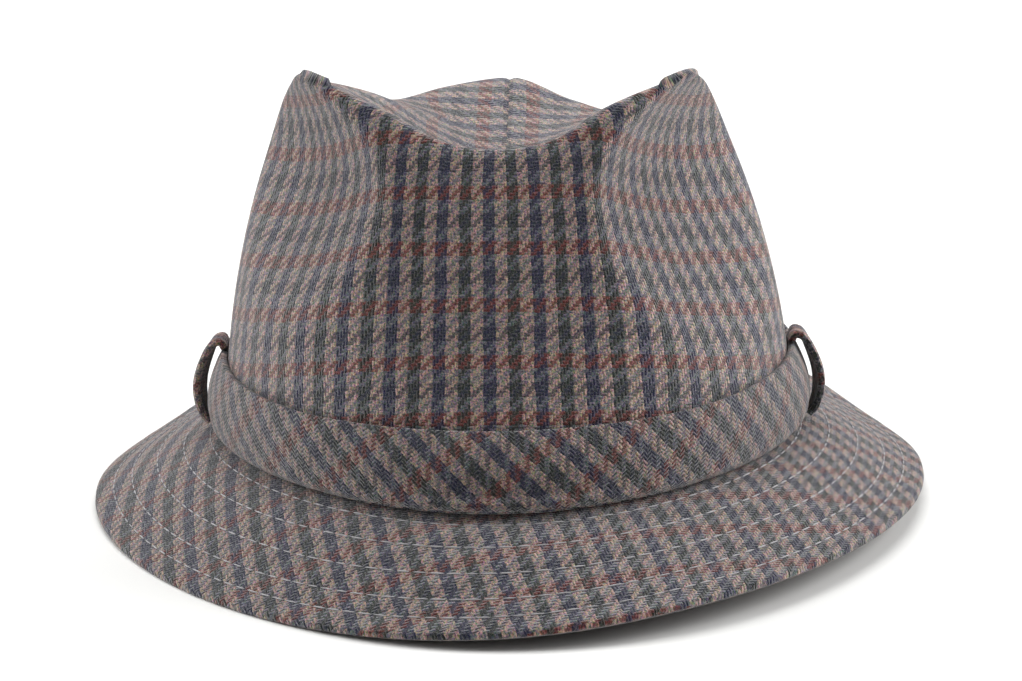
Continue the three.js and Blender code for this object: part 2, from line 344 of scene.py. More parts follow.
def add(tree: NodeTree, kind: str, links: dict | None = None, **settings: Any) -> Any:
    """Adds a node.

    Args:
        tree: the node tree.
        kind: the node's type.
        links: a node or socket to link, or a value, for inputs by name or number.
        settings: the node's own settings.

    Returns:
        The node.
    """
    node = tree.nodes.new(kind)
    for name, value in settings.items():
        setattr(node, name, value)
    for key, value in (links or {}).items():
        if isinstance(value, Node):
            value = value.outputs[0]
        if isinstance(value, NodeSocket):
            tree.links.new(value, node.inputs[key])
        else:
            node.inputs[key].default_value = value
    return node


def maths(tree: Any, operation: str, a: Any, b: Any = 0.0, c: Any = 0.0) -> Any:
    """One calculation on numbers."""
    return add(tree, "ShaderNodeMath", {0: a, 1: b, 2: c}, operation=operation).outputs[0]


def vectors(tree: Any, operation: str, links: dict) -> Any:
    """One calculation on vectors."""
    return add(tree, "ShaderNodeVectorMath", links, operation=operation).outputs[0]


@dataclass(frozen=True)
class Finish:
    """A named material with its own node tree."""

    name: str

    def start(self) -> tuple[Material, NodeTree]:
        """The empty material and its tree."""
        material = bpy.data.materials.new(self.name)
        material.use_nodes = True
        material.node_tree.nodes.clear()
        return material, material.node_tree

    def close(self, tree: NodeTree, surface: dict) -> None:
        """Joins a surface with these values to the material's output."""
        shader = add(tree, "ShaderNodeBsdfPrincipled", surface)
        add(tree, "ShaderNodeOutputMaterial", {"Surface": shader})


@dataclass(frozen=True)
class CheckedWool(Finish):
    """Brushed wool in a gun-club houndstooth: a 2/2 twill of four threads of each colour.

    It gives the eye slanted tan teeth on navy and green columns, a rust row in every repeat, the
    ridges of single threads, and a matt, hairy surface that lightens at its rim.

    Args:
        lightness_and_painted_shade: how light the wool is; lower on the brim, band and loops than on the
            crown, as painted shade.
        light, navy, green: the warp's colours.
        ash, rust, slate: the weft's colours.
        cover, rust_cover: how well the weft hides what is under it.
        showing: how much of the weft shows under the warp.
        haze: the colour of loose fibres.
        wander: the scale and the amount in mm of each noise that moves threads aside.
        fibre_scale, patch_scale: the scales of fibres and of lighter patches.
        fibre_tint, fibre_shade: how fibres differ in hue, and in lightness as slope and start.
        darkest_fibre: the least light that a fibre keeps.
        patch_shade, loose_share: lightness of patches and share of haze, as slope and start.
        relief, hairiness: the threads' relief in mm, and what fibres add to it.
    """

    lightness_and_painted_shade: float
    light: str = "#c6a99b"
    navy: str = "#28294c"
    green: str = "#2e342e"
    ash: str = "#797c86"
    rust: str = "#7e3834"
    slate: str = "#343a4e"
    cover: float = 0.76
    rust_cover: float = 0.8
    showing: float = 0.12
    haze: str = "#b7aaa4"
    wander: tuple[Pair, ...] = ((0.11, 1.4), (0.6, 0.6), (2.6, 0.5))
    fibre_scale: float = 1.5
    patch_scale: float = 0.35
    fibre_tint: float = 3.0
    fibre_shade: Pair = (5.4, -3.2)
    darkest_fibre: float = 0.2
    patch_shade: Pair = (0.9, 0.55)
    loose_share: Pair = (2.2, -1.2)
    relief: float = 0.4
    hairiness: float = 0.9

    def ramp(self, tree: Any, place: Any, stripes: Sequence[tuple[str, float]]) -> Any:
        """A ring of equal stripes with hard changes.

        Args:
            tree: the material's tree.
            place: the socket with the place along the ring, from 0 to 1.
            stripes: for each stripe its colour and how well its threads cover.

        Returns:
            The node, which gives the colour and how well the thread covers.
        """
        node = add(tree, "ShaderNodeValToRGB", {0: place})
        node.color_ramp.interpolation = "CONSTANT"
        elements = node.color_ramp.elements
        while len(elements) < len(stripes):
            elements.new(0.5)
        for number, (colour, cover) in enumerate(stripes):
            elements[number].position = number / len(stripes)
            elements[number].color = (*to_linear(colour)[:3], cover)
        return node

    def moved(self, tree: Any, threads: Any) -> Any:
        """The place on the cloth in mm, moved aside as threads wander."""
        place = threads
        for scale, amount in self.wander:
            noise = add(tree, "ShaderNodeTexNoise", {"Vector": threads, "Scale": scale, "Detail": 1.0})
            centred = vectors(tree, "SUBTRACT", {0: noise.outputs["Color"], 1: (0.5, 0.5, 0.5)})
            aside = vectors(tree, "SCALE", {0: centred, "Scale": amount})
            place = vectors(tree, "ADD", {0: place, 1: aside})
        return place

    def woven(self, tree: Any, place: Any) -> tuple[Any, Any]:
        """Works out the weave.

        Args:
            tree: the material's tree.
            place: the socket with the place on the cloth in mm.

        Returns:
            The colour of the yarn on top, and how high it stands, from 0 to 1.
        """
        parts = add(tree, "ShaderNodeSeparateXYZ", {0: place}).outputs
        counts = [maths(tree, "DIVIDE", parts[axis], THREAD_PITCH) for axis in (0, 1)]
        numbers = [maths(tree, "FLOOR", count) for count in counts]
        difference = maths(tree, "SUBTRACT", numbers[0], numbers[1])
        step = maths(tree, "FLOORED_MODULO", difference, 4.0)
        warp_up = maths(tree, "GREATER_THAN", step, 1.5)
        rings, rounded = [], []
        for count, number in zip(counts, numbers):
            middle = maths(tree, "ADD", number, 0.5)
            rings.append(maths(tree, "FRACT", maths(tree, "DIVIDE", middle, float(REPEAT_THREADS))))
            across = maths(tree, "MULTIPLY", maths(tree, "FRACT", count), math.pi)
            rounded.append(maths(tree, "SINE", across))
        warp = self.ramp(tree, rings[0], [(self.light, 1), (self.navy, 1), (self.light, 1), (self.green, 1)])
        pale, dark = (self.ash, self.cover), (self.slate, self.cover)
        weft = self.ramp(tree, rings[1], [(self.rust, self.rust_cover), pale, dark, pale])
        seen = maths(tree, "MULTIPLY_ADD", warp_up, self.showing - 1.0, 1.0)
        weft_share = maths(tree, "MULTIPLY", weft.outputs[1], seen)
        warp_share = maths(tree, "SUBTRACT", 1.0, weft_share)
        yarn = add(tree, "ShaderNodeMix", {0: warp_share, 6: weft, 7: warp}, data_type="RGBA").outputs[2]
        weft_up = maths(tree, "SUBTRACT", 1.0, warp_up)
        over = maths(tree, "MULTIPLY", rounded[0], warp_up)
        under = maths(tree, "MULTIPLY", rounded[1], weft_up)
        return yarn, maths(tree, "ADD", over, under)

    def build(self) -> Material:
        """The material, which reads the cloth's own map in metres of cloth."""
        material, tree = self.start()
        cloth = add(tree, "ShaderNodeUVMap", uv_map="Cloth").outputs[0]
        threads = vectors(tree, "SCALE", {0: cloth, "Scale": 1 / MM})
        yarn, height = self.woven(tree, self.moved(tree, threads))
        rough = {"Vector": threads, "Detail": 3.0, "Roughness": 0.8}
        fibres = add(tree, "ShaderNodeTexNoise", rough | {"Scale": self.fibre_scale}).outputs
        patches = add(tree, "ShaderNodeTexNoise", rough | {"Scale": self.patch_scale}).outputs
        grey = maths(tree, "MULTIPLY_ADD", fibres[0], *self.fibre_shade)
        speckle = vectors(tree, "MULTIPLY_ADD", {0: fibres["Color"], 1: (self.fibre_tint,) * 3, 2: grey})
        speckle = vectors(tree, "MAXIMUM", {0: speckle, 1: (self.darkest_fibre,) * 3})
        # The wool's lightness, which is lower on the brim, band and loops as painted shade.
        shade, between = (self.lightness_and_painted_shade * amount for amount in self.patch_shade)
        value = maths(tree, "MULTIPLY_ADD", patches[0], shade, between)
        dyed = vectors(tree, "MULTIPLY", {0: yarn, 1: speckle})
        dyed = vectors(tree, "SCALE", {0: dyed, "Scale": value})
        loose = maths(tree, "MULTIPLY_ADD", fibres[0], *self.loose_share)
        blend = {0: maths(tree, "MAXIMUM", loose, 0.0), 6: dyed, 7: to_linear(self.haze)}
        coloured = add(tree, "ShaderNodeMix", blend, data_type="RGBA").outputs[2]
        height = maths(tree, "MULTIPLY_ADD", fibres[0], self.hairiness, height)
        bump = add(tree, "ShaderNodeBump", {"Strength": 0.8, "Distance": self.relief * MM, "Height": height})
        self.close(tree, {
            "Base Color": coloured, "Roughness": 0.95, "Specular IOR Level": 0.15,
            "Sheen Weight": 0.55, "Sheen Roughness": 0.5, "Normal": bump,
        })
        return material


@dataclass(frozen=True)
class Thread(Finish):
    """Sewing thread of spun polyester, which gives the eye fine pale dashes with a soft shine."""

    colour: str

    def build(self) -> Material:
        """The plain, slightly shiny material."""
        material, tree = self.start()
        self.close(tree, {"Base Color": to_linear(self.colour), "Roughness": 0.7, "Sheen Weight": 0.2})
        return material


@dataclass(frozen=True)
class Paper(Finish):
    """The matt paper of the studio floor, a white that shows only the hat's soft shadow."""

    colour: str

    def build(self) -> Material:
        """The plain material."""
        material, tree = self.start()
        self.close(tree, {"Base Color": to_linear(self.colour), "Roughness": 0.9})
        return material


@dataclass
class Sheet:
    """A grid of points that closes on itself, with a place on the flat cloth for each.

    Args:
        points: rows by columns of points in millimetres, in the head opening's frame.
        cloth: rows by columns of places on the cloth in millimetres, with one column more.
        flip: whether its faces are turned over.
        capped: whether its first and its last row are closed by a face.
    """

    points: Array
    cloth: Array
    flip: bool = False
    capped: bool = False

    def faces(self, offset: int) -> tuple[list, Array]:
        """The faces as point numbers and the cloth's places at their corners."""
        rows, columns = self.points.shape[:2]
        r, c = np.meshgrid(np.arange(rows - 1), np.arange(columns), indexing="ij")
        r, c = r.ravel(), c.ravel()
        corners = [(r, c), (r, c + 1), (r + 1, c + 1), (r + 1, c)]
        if self.flip:
            corners.reverse()
        numbers = np.stack([a * columns + b % columns + offset for a, b in corners], -1).tolist()
        cloth = np.stack([self.cloth[a, b] for a, b in corners], 1).reshape(-1, 2)
        if self.capped:
            first, last = offset, offset + rows * columns - 1
            numbers += [[first + i for i in range(columns)], [last - i for i in range(columns)]]
            cloth = np.concatenate([cloth, self.cloth[0, :columns], self.cloth[-1, columns - 1 :: -1]])
        return numbers, cloth


def linked(name: str, data: Any) -> Object:
    """A new object in the scene."""
    thing = bpy.data.objects.new(name, data)
    bpy.context.scene.collection.objects.link(thing)
    return thing


def make_object(name: str, sheets: Sequence[Sheet], material: Material) -> Object:
    """Makes a smooth object that stays above the surface on which the hat stands.

    Args:
        name: its name.
        sheets: the sheets that it is made of.
        material: its material.

    Returns:
        The object.
    """
    faces, places, count = [], [], 0
    for sheet in sheets:
        more, cloth = sheet.faces(count)
        faces += more
        places.append(cloth)
        count += sheet.points[..., 0].size
    points = stand(np.concatenate([sheet.points.reshape(-1, 3) for sheet in sheets]))
    points[:, 2] = np.maximum(points[:, 2], 0)
    mesh = bpy.data.meshes.new(name)
    mesh.from_pydata(points.tolist(), [], faces)
    layer = mesh.uv_layers.new(name="Cloth")
    layer.data.foreach_set("uv", (np.concatenate(places) * MM).astype(np.float32).ravel())
    work = bmesh.new()
    work.from_mesh(mesh)
    bmesh.ops.remove_doubles(work, verts=work.verts, dist=WELD)
    bmesh.ops.dissolve_degenerate(work, edges=work.edges, dist=SHORTEST_EDGE)
    work.to_mesh(mesh)
    work.free()
    mesh.materials.append(material)
    mesh.polygons.foreach_set("use_smooth", [True] * len(mesh.polygons))
    log.info("%s: %d faces", name, len(mesh.polygons))
    return linked(name, mesh)


def seat(thing: Object, node: str, stands_for: bool = True) -> None:
    """Lets a piece ride on the hat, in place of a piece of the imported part."""
    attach(thing, "root")
    if stands_for:
        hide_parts(node)


def closed_strip(sides: Sequence[Array], cloths: Sequence[Array], flip: bool = False) -> Sheet:
    """A sheet over both sides of a strip and back to its start."""
    points, cloth = (np.concatenate([*parts, parts[0][:1]]) for parts in (sides, cloths))
    return Sheet(points, cloth, flip)


def normals_of(points: Array) -> Array:
    """The directions square to a closed grid of points, out of it if its rows rise."""
    around = np.roll(points, -1, 1) - np.roll(points, 1, 1)
    upward = np.gradient(points, axis=0)
    return unit(np.cross(around, upward))


@dataclass(frozen=True)
class Swell:
    """Soft, uneven waves over space: their height and length in mm, the seed and the number."""

    height: float
    length: float
    seed: int
    waves: int = 5

    def at(self, points: Array) -> Array:
        """How high it stands at each point."""
        random = np.random.default_rng(self.seed)
        total = np.zeros(points.shape[:-1])
        for _ in range(self.waves):
            direction = unit(random.normal(size=3))
            pace = 2 * math.pi / self.length * random.uniform(0.6, 1.5)
            total += np.sin(points @ direction * pace + random.uniform(0, 6.3))
        return self.height * (total / self.waves)


@dataclass
class Piece:
    """A piece of the hat, which is made of its finish."""

    finish: Material


@dataclass
class Crown(Piece):
    """The crown: one wrapped cloth with a seam at the back.

    Args:
        columns, wall_rows, top_rows, seam_columns: how finely it is divided, also at the seam.
        seam_depth, seam_half_width, seam_start, seam_fade: the groove, and where it grows.
        swell: the cloth's soft waves.
        ease, gather: how much the cloth is drawn together, and the change up to the ridge.
        cloth_shift, seam_phase: where the check starts, and the seam's place in its repeat.
        round_back, down_back: the directions between which the cloth of dent and wall turns.
        down_dent: the share of the way into the dent where it has turned.
        hem: how much cloth goes round the lower edge.
    """

    columns: int = 288
    wall_rows: int = 84
    top_rows: int = 52
    seam_depth: float = 0.7
    seam_half_width: float = 1.1
    seam_columns: tuple[float, ...] = (0.25, 0.5, 0.8)
    seam_start: float = 10.0
    seam_fade: float = 20.0
    swell: Swell = Swell(0.35, 42.0, 3)
    ease: float = 1.13
    gather: float = 0.22
    cloth_shift: Pair = (8.9, -26.2)
    seam_phase: float = 9.7
    round_back: Pair = (25, 80)
    down_back: Pair = (95, 150)
    down_dent: float = 0.5
    hem: float = 2.0

    def turns(self) -> Array:
        """The directions of the columns, closer together beside the seam."""
        beside = np.array(self.seam_columns)
        return np.sort(np.concatenate([directions(self.columns), -180 + beside, 180 - beside]))

    def cloth_map(self, turn: Array, wall: Array, top: Array) -> Array:
        """Where each point lies on the flat cloth.

        Behind, and in the dent, it has turned by a quarter, so that its rows run along the seam.

        Args:
            turn: the directions of the columns of points, in degrees.
            wall: the points of the wall, from the foot up.
            top: the points from the ridge down into the dent.

        Returns:
            The millimetres across and along the cloth, with one column more.
        """
        turn = np.append(turn, 180.0)
        side, away = np.where(turn < 0, -1.0, 1.0), np.abs(turn)
        whole = np.concatenate([wall, top[1:]], 0)
        whole = np.concatenate([whole, whole[:, :1]], 1)
        ridge = len(wall) - 1
        step = np.linalg.norm(np.diff(whole[len(wall) // 2], axis=0), axis=-1)
        rows, columns = (np.radians(CROWN_GRAIN.read(away, name)) for name in ("rows", "columns"))
        level, fall = np.cos(columns), np.sin(rows)
        u = np.concatenate([[0], np.cumsum((level[1:] + level[:-1]) / 2 * step)])
        v = np.concatenate([[0], np.cumsum(side[1:] * (fall[1:] + fall[:-1]) / 2 * step)])
        u = np.abs(u - np.interp(0, turn, u))
        v = v - np.interp(0, turn, v)
        up = lengths(whole, 0)
        drawn = self.ease + self.gather * (np.clip(up / up[ridge], 0, 1) - 0.5)
        hanging = np.stack([u * drawn - up * np.sin(columns), v + up * np.cos(columns)], -1)
        left = up[-1] - up
        out = unit((whole[ridge] - whole[-1]) * (1, 1, 0))
        beside = left * np.abs(out[:, 0])
        behind = whole[-1, :, 1] + left * out[:, 1]
        front, quarter = (int(np.argmin(np.abs(turn - angle))) for angle in (0, 90))
        at_front = hanging[ridge, front, 1] - behind[ridge, front]
        at_side = hanging[ridge, quarter] - (behind[ridge, quarter], -beside[ridge, quarter])
        repeat = REPEAT_THREADS * THREAD_PITCH
        phase = self.seam_phase - self.cloth_shift[1]
        seam_row = np.round((at_side[1] - phase) / repeat) * repeat + phase
        ahead = np.stack([beside, at_front + behind], -1)
        turned = np.stack([at_side[0] + behind, seam_row - beside], -1)
        round_back = smooth(away, *self.round_back)[:, None]
        over = ahead * (1 - round_back) + turned * round_back
        down = np.clip((up - up[ridge]) / (up[-1] - up[ridge]), 0, 1)
        share = np.maximum(smooth(down, 0, self.down_dent), smooth(away, *self.down_back)[None])
        share = share[..., None]
        cloth = hanging * (1 - share) + over * share
        return cloth * np.stack([side, 1 + 0 * side], -1) + self.cloth_shift

    def seam(self, points: Array) -> Array:
        """How deep the seam's groove is at each point."""
        behind = np.clip((points[..., 1] - self.seam_start) / self.seam_fade, 0, 1)
        return behind * self.seam_depth * np.exp(-((points[..., 0] / self.seam_half_width) ** 2))

    def build(self) -> Object:
        """Makes the crown."""
        turn = self.turns()
        wall_lines, top_lines, _ = crown_lines(turn)
        wall = pinched(turn, bezier(wall_lines, np.linspace(0, 1, self.wall_rows + 1)))
        top = bezier(top_lines, np.linspace(0, 1, self.top_rows + 1))
        top[0] = wall[-1]
        cloth = self.cloth_map(turn, wall, top)
        points = np.concatenate([wall, top[1:]], 0)
        normals = normals_of(points)
        points = points - normals * self.seam(points)[..., None]
        points = points + normals * self.swell.at(points)[..., None]
        points[..., 2] = np.maximum(points[..., 2], SEAM_GAP)
        points[-1, :, 0] = 0
        inside = points - normals * CROWN_CLOTH
        inside[..., 2] = np.maximum(inside[..., 2], SEAM_GAP)
        inside[-1, :, 0] = 0
        below = cloth[0] - (0, self.hem)
        hem = Sheet(np.stack([inside[0], points[0]]), np.stack([below, cloth[0]]))
        sheets = (Sheet(points, cloth), Sheet(inside, cloth, flip=True), hem)
        return make_object("crown_cloth", sheets, self.finish)


@dataclass
class Brim(Piece):
    """The brim: two layers of cloth with padding, quilted in rows round the hat.

    Args:
        columns, rows: how finely it is divided.
        row_places, last_row: how far from the edge the stitches run and the padding ends.
        puff, fullness, sunken: the padding's swell, how fast it rises, and its loss at a row.
        puff_start, puff_fade: how far from the crown it begins, and over what width.
        swell: the cloth's small waves.
        grain: how far the check's columns and rows are turned, in degrees.
        ring: the share of a whole turn that the flat cloth makes.
        ease, cloth_shift, under_shift: how much the cloth is drawn together, and where the
            check starts, also below.
    """

    columns: int = 420
    rows: int = 64
    row_places: tuple[float, ...] = (7.0, 13.5, 22.5, 32.0, 41.0)
    last_row: float = 50.0
    puff: float = 0.38
    fullness: float = 0.6
    sunken: float = 0.65
    puff_start: float = 3.0
    puff_fade: float = 4.0
    swell: Swell = Swell(0.1, 12.0, 8)
    grain: Pair = (15.3, 12.4)
    ring: float = 0.7
    ease: Pair = (1.131, 1.045)
    cloth_shift: Pair = (12.5, 3.3)
    under_shift: Pair = (3, 5)

    def upper(self, turn: Array) -> Array:
        """The upper side, from inside the crown's wall to the edge."""
        point, out = oval(turn, 0 * turn)
        whole = BRIM.read(turn, "width") + CROWN_CLOTH
        inner, middle, edge = (BRIM.read(turn, name) for name in ("inner", "middle", "edge"))
        rows = [point]
        for i in range(self.rows):
            t = (i + 0.5) / self.rows
            fall = np.radians(
                inner * (1 - t) * (1 - 2 * t) + middle * 4 * t * (1 - t) + edge * t * (2 * t - 1)
            )
            step = whole / self.rows
            point = point + out * (step * np.cos(fall))[:, None]
            point = point - np.array([0, 0, 1.0]) * (step * np.sin(fall))[:, None]
            rows.append(point)
        return np.array(rows)

    def quilt(self, from_edge: Array) -> Array:
        """How far the padding swells between the rows of stitches."""
        places = np.array((0.0, *self.row_places, self.last_row))
        i = np.clip(np.searchsorted(places, from_edge) - 1, 0, len(places) - 2)
        t = np.clip((from_edge - places[i]) / (places[i + 1] - places[i]), 0, 1)
        return self.puff * (np.abs(np.sin(math.pi * t)) ** self.fullness - self.sunken)

    def surfaces(self) -> tuple[Array, Array, Array, Array]:
        """Works out both sides of the brim.

        Returns:
            The points of the upper and the lower side, the directions out of the upper side, and
            how far each point is from the crown along the cloth.
        """
        upper = self.upper(directions(self.columns))
        normals = -normals_of(upper)
        normals = np.where(normals[..., 2:] < 0, -normals, normals)
        width = lengths(upper, 0)
        from_edge = width[-1] - width
        swell = self.quilt(from_edge) * np.clip((width - self.puff_start) / self.puff_fade, 0, 1)
        swell = swell + self.swell.at(upper)
        edge_round = np.clip(from_edge / (BRIM_CLOTH / 2), 0, 1)
        thick = BRIM_CLOTH / 2 * np.sqrt(np.clip(1 - (1 - edge_round) ** 2, 0, 1))
        middle = upper - normals * (BRIM_CLOTH / 2)
        half = normals * (thick + swell * edge_round)[..., None]
        return middle + half, middle - half, normals, width

    def cloth_map(self, width: Array) -> Array:
        """The place on the flat cloth: the brim is cut as part of a ring, closed at the back.

        Args:
            width: how far each point is from the crown along the cloth.

        Returns:
            The places in millimetres, with one column more than there are directions.
        """
        turn = np.append(directions(self.columns), 180.0)
        line, out = oval(turn, 0 * turn)
        facing = np.unwrap(np.arctan2(out[:, 1], out[:, 0]))
        front = len(turn) // 2
        facing = facing[front] + self.ring * (facing - facing[front])
        along = (facing[1:] + facing[:-1]) / 2 + math.pi / 2
        steps = np.linalg.norm(np.diff(line, axis=0), axis=1)[:, None]
        line = np.cumsum(np.stack([np.cos(along), np.sin(along)], -1) * steps, 0)
        line = np.concatenate([[[0.0, 0.0]], line]) - line[front - 1]
        outwards = np.stack([np.cos(facing), np.sin(facing)], -1)
        width = np.concatenate([width, width[:, :1]], 1)
        flat = line[None] + outwards[None] * width[..., None]
        c, n = np.cos(np.radians(self.grain)), np.sin(np.radians(self.grain))
        return flat @ np.array([[c[0], -n[1]], [n[0], c[1]]]) * self.ease + self.cloth_shift

    def stitch_rows(self) -> tuple[Array, Array]:
        """The rows of stitches on both sides.

        Returns:
            The points of each row, and the directions out of the cloth there.
        """
        top, bottom, normals, width = self.surfaces()
        rows, lifts = [], []
        for place in self.row_places:
            for side, facing in ((top, 1.0), (bottom, -1.0)):
                line, lift = [], []
                for c in range(self.columns):
                    reached = width[:, c] - (width[-1, c] - place)
                    line.append([np.interp(0, reached, side[:, c, k]) for k in range(3)])
                    lift.append([np.interp(0, reached, facing * normals[:, c, k]) for k in range(3)])
                rows.append(line)
                lifts.append(lift)
        return np.array(rows), unit(np.array(lifts))

    def build(self) -> Object:
        """Makes the brim."""
        top, bottom, _, width = self.surfaces()
        cloth = self.cloth_map(width)
        under = cloth[::-1][1:] + self.under_shift
        strip = closed_strip([top, bottom[::-1][1:]], [cloth, under], flip=True)
        return make_object("brim_cloth", [strip], self.finish)


@dataclass
class BrimStitching(Piece):
    """The rows of lockstitches that quilt the brim, on both sides.

    Args:
        brim: the brim that they quilt.
        pitch, length, width, height: from stitch to stitch, and a stitch's size.
        lift: how far its middle stands off the cloth.
        least, most, seed: the shares of its size that half a stitch has, drawn by chance.
    """

    brim: Brim
    pitch: float = 5.2
    length: float = 4.7
    width: float = 0.5
    height: float = 0.5
    lift: float = 0.08
    least: Triple = (0.42, 0.4, 0.4)
    most: Triple = (0.54, 0.56, 0.56)
    seed: int = 5

    def tree(self) -> NodeTree:
        """Nodes that lay a stitch at every pitch along the rows."""
        tree = bpy.data.node_groups.new("rows of lockstitches", "GeometryNodeTree")
        kinds = dict(
            Rows="Geometry", Pitch="Float", Length="Float", Width="Float", Height="Float", Thread="Material"
        )
        for name, kind in kinds.items():
            tree.interface.new_socket(name, in_out="INPUT", socket_type="NodeSocket" + kind)
        tree.interface.new_socket("Stitches", in_out="OUTPUT", socket_type="NodeSocketGeometry")
        given = add(tree, "NodeGroupInput").outputs
        paths = add(tree, "GeometryNodeMeshToCurve", {"Mesh": given["Rows"]})
        spaced = {"Curve": paths, "Length": given["Pitch"]}
        stops = add(tree, "GeometryNodeResampleCurve", spaced, mode="LENGTH")
        lift = add(tree, "GeometryNodeInputNamedAttribute", {"Name": "lift"}, data_type="FLOAT_VECTOR")
        tangent = add(tree, "GeometryNodeInputTangent")
        along = add(tree, "FunctionNodeAlignRotationToVector", {"Vector": tangent}, axis="X")
        turned = add(
            tree, "FunctionNodeAlignRotationToVector",
            {"Rotation": along, "Vector": lift}, axis="Z", pivot_axis="X",
        )
        axes = {"X": given["Length"], "Y": given["Width"], "Z": given["Height"]}
        size = add(tree, "ShaderNodeCombineXYZ", axes)
        uneven = add(
            tree, "FunctionNodeRandomValue",
            {0: self.least, 1: self.most, "Seed": self.seed}, data_type="FLOAT_VECTOR",
        )
        scale = add(tree, "ShaderNodeVectorMath", {0: size, 1: uneven}, operation="MULTIPLY")
        stitch = add(tree, "GeometryNodeMeshUVSphere", {"Segments": 8, "Rings": 4, "Radius": 1.0})
        laid = add(tree, "GeometryNodeInstanceOnPoints", {
            "Points": stops, "Instance": stitch, "Rotation": turned, "Scale": scale,
        })
        real = add(tree, "GeometryNodeRealizeInstances", {0: laid})
        soft = add(tree, "GeometryNodeSetShadeSmooth", {0: real})
        dressed = add(tree, "GeometryNodeSetMaterial", {"Geometry": soft, "Material": given["Thread"]})
        add(tree, "NodeGroupOutput", {"Stitches": dressed})
        return tree

    def build(self) -> Object:
        """Makes the stitches."""
        rows, lifts = self.brim.stitch_rows()
        count = rows.shape[1]
        edges = [(r * count + i, r * count + (i + 1) % count) for r in range(len(rows)) for i in range(count)]
        places = stand((rows + lifts * self.lift).reshape(-1, 3))
        path = bpy.data.meshes.new("stitch_rows")
        path.from_pydata(places.tolist(), edges, [])
        lift = path.attributes.new("lift", "FLOAT_VECTOR", "POINT")
        away = stand(lifts.reshape(-1, 3), place=False)
        lift.data.foreach_set("vector", away.astype(np.float32).ravel())
        parts = ("Pitch", "Length", "Width", "Height")
        sizes = {part: getattr(self, part.lower()) * MM for part in parts} | {"Thread": self.finish}
        base = linked("stitch_rows", path)
        modifier = base.modifiers.new("grow", "NODES")
        modifier.node_group = self.tree()
        for item in modifier.node_group.interface.items_tree:
            if item.in_out == "INPUT" and item.name in sizes:
                modifier[item.identifier] = sizes[item.name]
        view = bpy.context.evaluated_depsgraph_get()
        mesh = bpy.data.meshes.new_from_object(base.evaluated_get(view))
        mesh.name = "brim_stitches"
        bpy.data.objects.remove(base)
        log.info("%s: %d faces", mesh.name, len(mesh.polygons))
        return linked(mesh.name, mesh)


@dataclass
class Band(Piece):
    """The band: a strip on the bias with a rolled lower edge.

    Args:
        columns, rows: how finely it is divided.
        tuck: how much lower its top edge is at the crown than outside.
        slant: how much its rows are drawn out of the square.
        ease, cloth_shift: how much the cloth is drawn together, and where the check starts.
    """

    columns: int = 420
    rows: int = 40
    tuck: float = 0.7
    slant: float = 0.1
    ease: Pair = (1.11, 1.0)
    cloth_shift: Pair = (9.3, 12.8)

    def surfaces(self) -> tuple[Array, Array, Array]:
        """The points of the outer and the inner side, and the places on the flat cloth."""
        turn = directions(self.columns)
        sideways = np.sin(np.radians(turn)) ** 2
        heights = np.linspace(0, BAND_HEIGHT, self.rows + 1)
        ends, sides = (BAND_PROFILE.read(heights, name)[:, None] for name in ("ends", "sides"))
        proud = ends * (1 - sideways) + sides * sideways + SEAM_GAP
        outside = off_wall(turn, heights + BAND_FOOT, proud)
        back = np.maximum(proud - BAND_CLOTH, SEAM_GAP)
        tucked = heights - self.tuck * np.clip(heights - BAND_HEIGHT + 1, 0, 1)
        inside = off_wall(turn, tucked + BAND_FOOT, back)
        around = lengths(np.concatenate([outside, outside[:, :1]], 1), 1)
        around = around - around[:, len(turn) // 2 : len(turn) // 2 + 1]
        up = lengths(outside, 0)
        up = np.concatenate([up, up[:, :1]], 1)
        across = around + up
        cloth = np.stack([across, up - around + self.slant * across], -1) / math.sqrt(2) * self.ease
        return outside, inside, cloth + self.cloth_shift

    def build(self) -> Object:
        """Makes the band."""
        outside, inside, cloth = self.surfaces()
        strip = closed_strip([outside, inside[::-1]], [cloth, cloth[::-1]])
        return make_object("band_cloth", [strip], self.finish)


def smooth_path(knots: Array, count: int, fineness: int = 400) -> Array:
    """Evenly spaced points on a smooth curve through knots, measured on finer steps."""
    along = lengths(knots, 0)
    table = Table("at x y z", *[(a, *k) for a, k in zip(along, knots)])
    fine = np.linspace(0, along[-1], fineness)
    points = np.stack([table.read(fine, axis) for axis in "xyz"], -1)
    far = lengths(points, 0)
    even = np.linspace(0, far[-1], count)
    return np.stack([np.interp(even, far, points[:, i]) for i in range(3)], -1)


